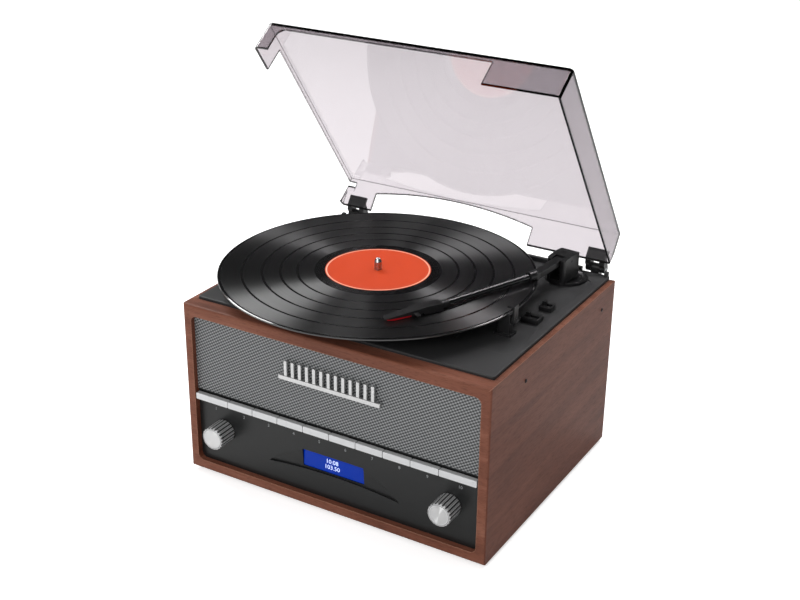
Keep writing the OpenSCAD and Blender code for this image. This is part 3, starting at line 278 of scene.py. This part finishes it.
blackSteel = makeMetal("blackedSteel", metals["black"])
dress(["badge"], makeMetal("chromedZinc", metals["badge"]))
dress(["button_%d" % i for i in range(1, 11)], makeMetal("platedAbs", metals["button"]))
dress(["spindle", "volume_shaft", "tuning_shaft", "lift_pin", "hinge_pins"],
      makeMetal("turnedSteel", metals["steel"]))
dress(["display_module", "encoders", "motor"], makeMetal("pressedSteel", metals["pressed"]))
dress(["rear_sockets", "bearing_bush", "motor_pulley"], makeMetal("turnedBrass", metals["brass"]))

# Plated ABS, ribbed round the grip: satin silver crowns, painted shade in the grooves between them and in the
# ring groove round the cap
knurl = {
    "depth": 0.45, "crest": 0.05, "groove": 0.4, "faceInset": 0.2,
    "ribs": 20, "valley": 0.1, "soften": 0.5,  # every other rib is shaded: all of them are too fine to show
    # painted shade: a dark ring round the cap, where the face has its groove
    "ring": 9.85, "ringLine": 0.2, "ringWidth": 0.8,
}


def makeKnurled(name, nodeName):
    material = makeMetal(name, metals["knob"])
    tree = material.node_tree
    shader = tree.nodes["Principled BSDF"]
    plain = shader.inputs["Base Color"].links[0].from_socket
    low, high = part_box(nodeName)
    crown = (high.x - low.x) / 2 * perMetre
    out, radius = fromAxis(tree, (low + high) / 2, (perMetre, 0, perMetre))
    # painted shade: darker towards the bottoms of the grooves
    shade = add(tree, "MapRange", {"Value": radius, "From Min": crown - knurl["depth"],
                                   "From Max": crown - knurl["crest"], "To Min": knurl["groove"]})
    corner = add(tree, "SeparateXYZ", {0: out})
    angle = add(tree, "Math", {0: corner.outputs[2], 1: corner.outputs[0]}, operation="ARCTAN2")
    turn = add(tree, "Math", {0: angle, 1: knurl["ribs"]}, operation="MULTIPLY")
    swing = add(tree, "Math", {0: turn}, operation="COSINE")
    valley = add(tree, "MapRange", {"Value": swing, "From Min": knurl["soften"], "From Max": -knurl["soften"],
                                    "To Min": knurl["valley"]})
    shade = add(tree, "Math", {0: shade, 1: valley}, operation="MULTIPLY")
    faceRadius = crown - knurl["depth"] - knurl["faceInset"]
    face = add(tree, "Math", {0: radius, 1: faceRadius}, operation="LESS_THAN")
    shade = add(tree, "Math", {0: shade, 1: face}, operation="MAXIMUM")
    # painted shade in the ring groove round the cap
    off = offRing(tree, radius, knurl["ring"])
    clear = add(tree, "MapRange", {"Value": off, "From Min": knurl["ringLine"],
                                   "From Max": knurl["ringWidth"] / 2, "To Min": knurl["groove"]})
    shade = add(tree, "Math", {0: shade, 1: clear}, operation="MULTIPLY")
    colour = add(tree, "Mix", {0: 1.0, 6: plain, 7: shade}, **multiplied)
    feed(tree, shader, {"Base Color": colour.outputs[2]})
    return material


dress(["volume_knob"], makeKnurled("platedAbsVolume", "volume_knob"))
dress(["tuning_knob"], makeKnurled("platedAbsTuning", "tuning_knob"))

# Aluminium, spun: fine rings on the face throw a bright bow-tie that turns with the light
spun = {"colour": "#f2f2f2", "roughness": 0.33, "anisotropy": 1.0, "ring": 0.9, "bump": 0.12, "relief": 0.06,
        "tone": {"From Min": -1, "From Max": 1, "To Min": 0.9, "To Max": 1.0}}


def makeSpun(name, nodeName):
    material, tree, shader = startMaterial(name)
    low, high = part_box(nodeName)
    out, radius = fromAxis(tree, (low + high) / 2, (perMetre, 0, perMetre))
    tangent = add(tree, "VectorMath", {0: out}, operation="NORMALIZE")
    phase = add(tree, "Math", {0: radius, 1: fullTurn / spun["ring"]}, operation="MULTIPLY")
    rings = add(tree, "Math", {0: phase}, operation="SINE")
    depth = add(tree, "Bump", {"Height": rings, "Strength": spun["bump"], "Distance": spun["relief"] * mm})
    shade = add(tree, "MapRange", {"Value": rings, **spun["tone"]})
    colour = add(tree, "Mix", {0: 1.0, 6: linear(spun["colour"]), 7: shade}, **multiplied)
    feed(tree, shader, {"Base Color": colour.outputs[2], "Normal": depth, "Tangent": tangent, "Metallic": 1,
                        "Roughness": spun["roughness"], "Anisotropic": spun["anisotropy"]})
    return material


dress(["volume_cap"], makeSpun("spunAluminiumVolume", "volume_cap"))
dress(["tuning_cap"], makeSpun("spunAluminiumTuning", "tuning_cap"))
print("metals done")

# PVC, pressed: black and glossy, grooves that spread light into two wedges, smooth gaps between the tracks
disc = {
    "colour": "#070708", "anisotropy": 1.0, "specular": 1.0, "coat": 0.8, "mirror": 0.05,
    "groove": 1.3,  # real grooves are 0.1 mm apart
    "bump": 0.03, "relief": 0.1, "loudness": {"Scale": 0.55, "Detail": 4, "Roughness": 0.7},
    "heard": {"From Min": 0.3, "From Max": 0.7}, "tone": {"To Min": 0.75, "To Max": 1.5},
    "gloss": {"To Min": 0.33, "To Max": 0.44}, "gapRoughness": 0.13,
    "gaps": (128, 109, 92, 76, 149), "gapWidth": 1.1, "runOut": 60,  # the last gap is the lead-in
}
spindleLow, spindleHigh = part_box("spindle")
spindleTop = Vector(((spindleLow.x + spindleHigh.x) / 2, (spindleLow.y + spindleHigh.y) / 2, spindleHigh.z))


def makeVinyl():
    material, tree, shader = startMaterial("pressedVinyl")
    out, radius = fromAxis(tree, spindleTop, (perMetre, perMetre, 0))
    tangent = add(tree, "VectorMath", {0: out}, operation="NORMALIZE")
    phase = add(tree, "Math", {0: radius, 1: fullTurn / disc["groove"]}, operation="MULTIPLY")
    groove = add(tree, "Math", {0: phase}, operation="SINE")
    smooth = add(tree, "Math", {0: radius, 1: disc["runOut"]}, operation="LESS_THAN")
    for gap in disc["gaps"]:
        off = offRing(tree, radius, gap)
        inGap = add(tree, "Math", {0: off, 1: disc["gapWidth"]}, operation="LESS_THAN")
        smooth = add(tree, "Math", {0: smooth, 1: inGap}, operation="MAXIMUM")
    cut = add(tree, "Math", {0: 1.0, 1: smooth}, operation="SUBTRACT")
    height = add(tree, "Math", {0: groove, 1: cut}, operation="MULTIPLY")
    depth = add(tree, "Bump", {"Height": height, "Strength": disc["bump"], "Distance": disc["relief"] * mm})
    track = add(tree, "CombineXYZ", {0: radius})
    loudness = add(tree, "TexNoise", {"Vector": track, **disc["loudness"]})
    rough = add(tree, "MapRange", {"Value": loudness, **disc["heard"], **disc["gloss"]})
    gloss = add(tree, "Mix", {0: smooth, 2: rough, 3: disc["gapRoughness"]}, data_type="FLOAT")
    shade = add(tree, "MapRange", {"Value": loudness, **disc["heard"], **disc["tone"]})
    colour = add(tree, "Mix", {0: 1.0, 6: linear(disc["colour"]), 7: shade}, **multiplied)
    feed(tree, shader, {"Base Color": colour.outputs[2], "Roughness": gloss, "Normal": depth,
                        "Tangent": tangent, "Anisotropic": disc["anisotropy"],
                        "Specular IOR Level": disc["specular"], "Coat Weight": disc["coat"],
                        "Coat Roughness": disc["mirror"]})
    return material


# Paper, uncoated and printed in orange: flat colour with a soft fibre, one thin pale printed ring
labelLook = {"paper": "#c83c06", "ring": "#f2b79c", "ringRadius": 48.6, "ringWidth": 1.2, "fibre": 0.5,
             "tone": {"To Min": 0.9, "To Max": 1.06}, "bump": 0.08, "relief": 0.1, "roughness": 0.55,
             "specular": 0.25}


def makeLabelPaper():
    material, tree, shader = startMaterial("printedPaper")
    out, radius = fromAxis(tree, spindleTop, (perMetre, perMetre, 0))
    off = offRing(tree, radius, labelLook["ringRadius"])
    onRing = add(tree, "Math", {0: off, 1: labelLook["ringWidth"] / 2}, operation="LESS_THAN")
    place = add(tree, "TexCoord")
    fibre = add(tree, "TexNoise", {"Vector": place.outputs["Object"], "Scale": perMetre / labelLook["fibre"],
                                   "Detail": 3})
    tone = add(tree, "MapRange", {"Value": fibre, **labelLook["tone"]})
    ink = add(tree, "Mix", {0: onRing, 6: linear(labelLook["paper"]), 7: linear(labelLook["ring"])},
              **blended)
    colour = add(tree, "Mix", {0: 1.0, 6: ink.outputs[2], 7: tone}, **multiplied)
    depth = add(tree, "Bump", {"Height": fibre, "Strength": labelLook["bump"],
                               "Distance": labelLook["relief"] * mm})
    feed(tree, shader, {"Base Color": colour.outputs[2], "Normal": depth, "Roughness": labelLook["roughness"],
                        "Specular IOR Level": labelLook["specular"]})
    return material


dress(["record"], makeVinyl())
dress(["record_label"], makeLabelPaper())
print("record done")

# Rubber, enamel, pulp and fibreboard inside and under the cabinet: dull and grainy, only the enamel shines
hidden = {
    "rubber": {"colour": "#1c1c1c", "roughness": 0.75, "grain": 0.8, "strength": 0.3, "edge": 0.4},
    "enamel": {"colour": "#2b2b2d", "roughness": 0.33, "grain": 1.5, "strength": 0.05, "edge": 0.4},
    "pulp": {"colour": "#1b1a1a", "roughness": 0.85, "grain": 1.4, "strength": 0.5, "edge": 0.2},
    "board": {"colour": "#a9865c", "roughness": 0.8, "grain": 1.2, "strength": 0.4, "edge": 0.3},
}
dress(["feet", "platter_mat", "drive_belt"], makeMoulded("mouldedRubber", hidden["rubber"]))
dress(["platter", "speaker_frames"], makeMoulded("blackEnamel", hidden["enamel"]))
dress(["speaker_cones"], makeMoulded("pressedPulp", hidden["pulp"]))
dress(["bottom_board", "baffle_board"], makeMoulded("pressedFibreboard", hidden["board"]))

# Glass-fibre laminate, etched and masked green: darker where the copper is gone, glossy
boardLook = {"mask": "#1c5a34", "copper": "#2f7a48", "bare": "#12391f", "cell": 12.8, "gap": 0.05,
             "roughness": 0.3}


def makeCircuit():
    material, tree, shader = startMaterial("maskedLaminate")
    place = add(tree, "TexCoord")
    track = add(tree, "TexBrick", {"Vector": place.outputs["Object"], "Scale": perMetre / boardLook["cell"],
                                   "Color1": linear(boardLook["mask"]), "Color2": linear(boardLook["copper"]),
                                   "Mortar": linear(boardLook["bare"]), "Mortar Size": boardLook["gap"]})
    feed(tree, shader, {"Base Color": track, "Roughness": boardLook["roughness"]})
    return material


dress(["control_board", "main_board"], makeCircuit())
dress(["stylus_holder"], makeMoulded("mouldedAbsRed", plastics["red"]))
print("small materials done")

# Aluminium tube, drawn and painted gloss black: a long unbroken highlight
tubeLook = {"colour": "#141415", "dust": {"Scale": 300, "Detail": 2}, "coat": 0.6, "mirror": 0.06,
            "gloss": {"To Min": 0.2, "To Max": 0.28}}


def makeTube():
    material, tree, shader = startMaterial("paintedTube")
    place = add(tree, "TexCoord")
    dust = add(tree, "TexNoise", {"Vector": place.outputs["Object"], **tubeLook["dust"]})
    gloss = add(tree, "MapRange", {"Value": dust, **tubeLook["gloss"]})
    feed(tree, shader, {"Base Color": linear(tubeLook["colour"]), "Roughness": gloss,
                        "Coat Weight": tubeLook["coat"], "Coat Roughness": tubeLook["mirror"]})
    return material


dress(["arm_tube"], makeTube())

# Acrylic sheet, moulded and smoked: clear grey-violet, with painted shade at its edges and lip, for the
# darkness where one looks along the sheet
lidLook = {
    # painted shade: the edge colour is mixed in where the rounded normal turns away, and on the lip
    "tint": "#bdb7bb", "edge": "#080708", "edgeWidth": 2.0, "rim": {"From Min": 0.99, "From Max": 0.88},
    "haze": {"Scale": 9, "Detail": 2}, "gloss": {"To Min": 0.02, "To Max": 0.05}, "ior": 1.49,
    "hinge": (0, 0.137, 0.1849), "opened": 54,  # the hinge's place in metres, and the angle from closed
    "lip": 1.2, "lipFade": 0.8,
}


def makeAcrylic():
    material, tree, shader = startMaterial("smokedAcrylic")
    place = add(tree, "TexCoord")
    haze = add(tree, "TexNoise", {"Vector": place.outputs["Object"], **lidLook["haze"]})
    gloss = add(tree, "MapRange", {"Value": haze, **lidLook["gloss"]})
    rounded, turned = edgeTurn(tree, lidLook["edgeWidth"])
    rim = add(tree, "MapRange", {"Value": turned, **lidLook["rim"]})
    opened = math.radians(lidLook["opened"])
    inward = (0, -math.sin(opened), -math.cos(opened))  # from the lid's top down to its lip
    out = add(tree, "VectorMath", {0: place.outputs["Object"], 1: lidLook["hinge"]}, operation="SUBTRACT")
    reach = add(tree, "VectorMath", {0: out, 1: inward}, operation="DOT_PRODUCT")
    # painted shade along the lip
    lipFrom = -lidLook["lip"] * mm
    lip = add(tree, "MapRange", {"Value": reach.outputs["Value"], "From Min": lipFrom,
                                 "From Max": lipFrom * lidLook["lipFade"]})
    rim = add(tree, "Math", {0: rim, 1: lip}, operation="MAXIMUM")
    colour = add(tree, "Mix", {0: rim, 6: linear(lidLook["tint"]), 7: linear(lidLook["edge"])}, **blended)
    feed(tree, shader, {"Base Color": colour.outputs[2], "Roughness": gloss, "Transmission Weight": 1,
                        "IOR": lidLook["ior"]})
    return material


dress(["lid"], makeAcrylic())
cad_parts["lid"].visible_shadow = False  # clear sheet: it hardly shades the record
print("lid done")

# Acrylic, moulded, over a lit blue liquid-crystal display: an even glow, with pale digits in front
display = {
    "blue": "#002b8e", "deep": "#00227a", "cloud": {"Scale": 16, "Detail": 1}, "glow": 0.6,
    "roughness": 0.12, "specular": 0.2, "digit": "#c9d8ff", "digitGlow": 0.9, "size": 6.2, "left": 2.0,
    "rows": {"display_upper": ("10:08", 2.7), "display_lower": ("103.50", -3.348)},
}
# Ink, screen printed: flat and slightly worn, with no shine of its own
inkLook = {"wearAndEdgeHighlight": {"Scale": 900, "Detail": 1}, "tone": {"To Min": 0.86, "To Max": 1.04}, "roughness": 0.5,
           "thickness": 0.03, "clear": 0.05}


def makeDisplay():
    material, tree, shader = startMaterial("litWindow")
    place = add(tree, "TexCoord")
    cloud = add(tree, "TexNoise", {"Vector": place.outputs["Object"], **display["cloud"]})
    colour = add(tree, "Mix", {0: cloud, 6: linear(display["blue"]), 7: linear(display["deep"])}, **blended)
    feed(tree, shader, {"Base Color": colour.outputs[2], "Emission Color": colour.outputs[2],
                        "Emission Strength": display["glow"], "Specular IOR Level": display["specular"],
                        "Roughness": display["roughness"]})
    return material


def makeInk(name, hexText, glow=0.0):
    material, tree, shader = startMaterial(name)
    place = add(tree, "TexCoord")
    wearAndEdgeHighlight = add(tree, "TexNoise", {"Vector": place.outputs["Object"], **inkLook["wearAndEdgeHighlight"]})
    tone = add(tree, "MapRange", {"Value": wearAndEdgeHighlight, **inkLook["tone"]})
    colour = add(tree, "Mix", {0: 1.0, 6: linear(hexText), 7: tone}, **multiplied)
    feed(tree, shader, {"Base Color": colour.outputs[2], "Roughness": inkLook["roughness"]})
    if glow:
        feed(tree, shader, {"Emission Color": colour.outputs[2], "Emission Strength": glow})
    return material


def stampFront(name, text, place, size, material, body):  # figures on a face to the front
    shape = bpy.data.curves.new(name, "FONT")
    shape.body = text
    shape.size = size * mm
    shape.align_x = "CENTER"
    shape.align_y = "CENTER"
    shape.extrude = inkLook["thickness"] * mm
    shape.resolution_u = 3
    shape.materials.append(material)
    stamped = bpy.data.objects.new(name, shape)
    bpy.context.scene.collection.objects.link(stamped)
    stamped.location = place
    stamped.rotation_euler = (math.pi / 2, 0, 0)
    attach(stamped, body)


windowLow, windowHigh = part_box("display_window")
windowMiddle = (windowLow + windowHigh) / 2
dress(["display_window"], makeDisplay())
digitInk = makeInk("litSegments", display["digit"], display["digitGlow"])
for name, (text, rise) in display["rows"].items():
    place = (windowMiddle.x - display["left"] * mm, windowLow.y - inkLook["clear"] * mm,
             windowMiddle.z + rise * mm)
    stampFront(name, text, place, display["size"], digitInk, "case")

# Plain figures printed on the panel under the keys
figures = {"size": 4.4, "drop": 8.6, "ink": "#9a9c9e"}
panelLow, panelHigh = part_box("control_panel")
keyInk = makeInk("screenPrint", figures["ink"])
for number in range(1, 11):
    keyLow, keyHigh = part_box("button_%d" % number)
    place = ((keyLow.x + keyHigh.x) / 2, panelLow.y - inkLook["clear"] * mm, keyLow.z - figures["drop"] * mm)
    stampFront("key_figure_%d" % number, str(number), place, figures["size"], keyInk, "case")
print("display and figures done")

# Steel pan-head screws, cross recessed and blacked: eight in the back panel, smaller ones in the side boards
screwLook = {
    "head": 6.2, "height": 1.6, "recess": 3.2, "slot": 0.9, "around": 32,
    "profile": [(1.0, 0.0), (1.0, 0.25), (0.93, 0.55), (0.72, 0.85), (0.42, 0.98)],  # radius, height
    "pitHeight": 0.35, "pitSize": 0.6,
    "backShares": (0.04, 0.36, 0.64, 0.96), "backInset": 7,
    "sideSize": 0.6, "sidePlaces": [(-66, 157.0), (100, 159.0)],
}


def makeScrew(name, place, outward, body, size=1.0):
    shape = bmesh.new()
    radius = screwLook["head"] / 2 * mm
    height = screwLook["height"] * mm
    around = screwLook["around"]
    rings = []
    for share, lift in screwLook["profile"]:
        angles = [fullTurn * i / around for i in range(around)]
        rings.append([shape.verts.new((radius * share * math.cos(a), radius * share * math.sin(a),
                                       height * lift)) for a in angles])
    for low, high in zip(rings, rings[1:]):
        for i in range(around):
            j = (i + 1) % around
            shape.faces.new((low[i], low[j], high[j], high[i]))
    half = screwLook["recess"] / 2 * mm
    wide = screwLook["slot"] / 2 * mm
    top = height * screwLook["profile"][-1][1]
    pitFloor = height * screwLook["pitHeight"]
    cross = [(half, -wide), (half, wide), (wide, wide), (wide, half), (-wide, half), (-wide, wide),
             (-half, wide), (-half, -wide), (-wide, -wide), (-wide, -half), (wide, -half), (wide, -wide)]
    rim = [shape.verts.new((x, y, top)) for x, y in cross]
    pit = [shape.verts.new((x * screwLook["pitSize"], y * screwLook["pitSize"], pitFloor)) for x, y in cross]
    for i in range(len(cross)):
        j = (i + 1) % len(cross)
        shape.faces.new((rim[j], rim[i], pit[i], pit[j]))
    shape.faces.new(pit)
    edges = []
    for loop in (rings[-1], rim):
        edges += [shape.edges.get((loop[i], loop[(i + 1) % len(loop)])) for i in range(len(loop))]
    bmesh.ops.triangle_fill(shape, edges=edges, use_beauty=True)
    bmesh.ops.recalc_face_normals(shape, faces=shape.faces)
    data = bpy.data.meshes.new(name)
    shape.to_mesh(data)
    shape.free()
    data.materials.append(blackSteel)
    screw = bpy.data.objects.new(name, data)
    bpy.context.scene.collection.objects.link(screw)
    screw.rotation_euler = Vector(outward).to_track_quat("Z", "Y").to_euler()
    screw.location = place
    screw.scale = (size, size, size)
    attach(screw, body)


backLow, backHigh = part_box("back_panel")
backInset = screwLook["backInset"] * mm
backHeights = (backLow.z + backInset, backHigh.z - backInset)
backPlaces = [(share, z) for share in screwLook["backShares"] for z in backHeights]
for number, (share, z) in enumerate(backPlaces, 1):
    x = backLow.x + (backHigh.x - backLow.x) * share
    makeScrew("back_screw_%d" % number, (x, backHigh.y, z), (0, 1, 0), "case")
caseLow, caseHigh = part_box("cabinet")
sideSize = screwLook["sideSize"]
for number, (y, z) in enumerate(screwLook["sidePlaces"], 1):
    makeScrew("right_screw_%d" % number, (caseHigh.x, y * mm, z * mm), (1, 0, 0), "case", sideSize)
    makeScrew("left_screw_%d" % number, (caseLow.x, y * mm, z * mm), (-1, 0, 0), "case", sideSize)
print("screws done")

# The photograph's view: 30 degrees round to the right, 24 up, from 1.27 m
cameraLook = {"azimuth": 30.47, "elevation": 24.48, "distance": 1.2692, "lens": 60.33, "sensor": 36,
              "roll": -0.639, "target": (0.0, -0.00756, 0.17215)}
azimuth, elevation, roll = (math.radians(cameraLook[k]) for k in ("azimuth", "elevation", "roll"))
backward = Vector((math.sin(azimuth) * math.cos(elevation), -math.cos(azimuth) * math.cos(elevation),
                   math.sin(elevation)))
rightward = Vector((math.cos(azimuth), math.sin(azimuth), 0))
upward = backward.cross(rightward)
right = math.cos(roll) * rightward - math.sin(roll) * upward
up = math.sin(roll) * rightward + math.cos(roll) * upward
lens = bpy.data.cameras.new("camera")
lens.lens = cameraLook["lens"]
lens.sensor_width = cameraLook["sensor"]
camera = bpy.data.objects.new("camera", lens)
bpy.context.scene.collection.objects.link(camera)
turn = Matrix((right, up, backward)).transposed().to_4x4()
eye = Vector(cameraLook["target"]) + backward * cameraLook["distance"]
camera.matrix_world = Matrix.Translation(eye) @ turn
bpy.context.scene.camera = camera

# Paper sweep, matt white; a soft key lamp high on the left, a fill in front, a strip behind on the right
studio = {
    "reach": 9.0, "lift": 0.57, "tooth": {"Scale": 30, "Detail": 2}, "paper": {"To Min": 0.88, "To Max": 0.9},
    "roughness": 0.9, "world": 0.48, "mirrorTurn": {"From Min": -0.5, "From Max": 0.0},
    "frontGloss": 0.32, "backGloss": 0.03,  # how bright mirrors see the room in front and behind
}
lamps = {
    "key": {"place": (-1.38, 0.42, 1.45), "aim": (0, 0, 0.15), "size": (0.8, 0.8), "power": 21},
    "fill": {"place": (0.1, -1.7, 1.1), "aim": (0, 0, 0.1), "size": (0.9, 0.6), "power": 13},
    "top": {"place": (0.3, 1.0, 1.45), "aim": (0, 0, 0.2), "size": (0.7, 0.35), "power": 8},
}


def makeFloor():
    material, tree, shader = startMaterial("paperSweep")
    ray = add(tree, "LightPath")
    seen = add(tree, "Math", {0: ray.outputs["Is Camera Ray"], 1: ray.outputs["Is Transmission Ray"]},
               operation="MAXIMUM")
    glow = add(tree, "Math", {0: seen, 1: studio["lift"]}, operation="MULTIPLY")
    tooth = add(tree, "TexNoise", studio["tooth"])
    colour = add(tree, "MapRange", {"Value": tooth, **studio["paper"]})
    feed(tree, shader, {"Base Color": colour, "Emission Strength": glow, "Emission Color": white,
                        "Roughness": studio["roughness"], "Specular IOR Level": 0.0})
    return material


sweep = bpy.data.meshes.new("floor")
reach = studio["reach"]
sweep.from_pydata([(-reach, -reach, 0), (reach, -reach, 0), (reach, reach, 0), (-reach, reach, 0)], [],
                  [(0, 1, 2, 3)])
sweep.materials.append(makeFloor())
floor = bpy.data.objects.new("floor", sweep)
bpy.context.scene.collection.objects.link(floor)

world = bpy.data.worlds.new("studio")
bpy.context.scene.world = world
world.use_nodes = True
sky = world.node_tree
backdrop = sky.nodes["Background"]
ray = add(sky, "LightPath")
bent = add(sky, "Math", {0: ray.outputs["Is Glossy Ray"], 1: ray.outputs["Is Transmission Ray"]},
           operation="MAXIMUM")
toward = add(sky, "TexCoord")
direction = add(sky, "SeparateXYZ", {0: toward.outputs["Generated"]})
shine = add(sky, "MapRange", {"Value": direction.outputs[1], **studio["mirrorTurn"],
                              "To Min": studio["frontGloss"], "To Max": studio["backGloss"]})
dim = add(sky, "Mix", {0: bent, 2: studio["world"], 3: shine}, data_type="FLOAT")
strength = add(sky, "Mix", {0: ray.outputs["Is Camera Ray"], 2: dim, 3: 1.0}, data_type="FLOAT")
feed(sky, backdrop, {"Color": white, "Strength": strength})


def hangLamp(name, place, aim, size, power):
    lamp = bpy.data.lights.new(name, "AREA")
    lamp.shape = "RECTANGLE"
    lamp.size, lamp.size_y = size
    lamp.energy = power
    hung = bpy.data.objects.new(name, lamp)
    bpy.context.scene.collection.objects.link(hung)
    hung.location = place
    hung.rotation_euler = (Vector(aim) - Vector(place)).to_track_quat("-Z", "Y").to_euler()


for name, look in lamps.items():
    hangLamp(name, **look)

bpy.context.scene.view_settings.view_transform = "Standard"
print("camera and studio done")
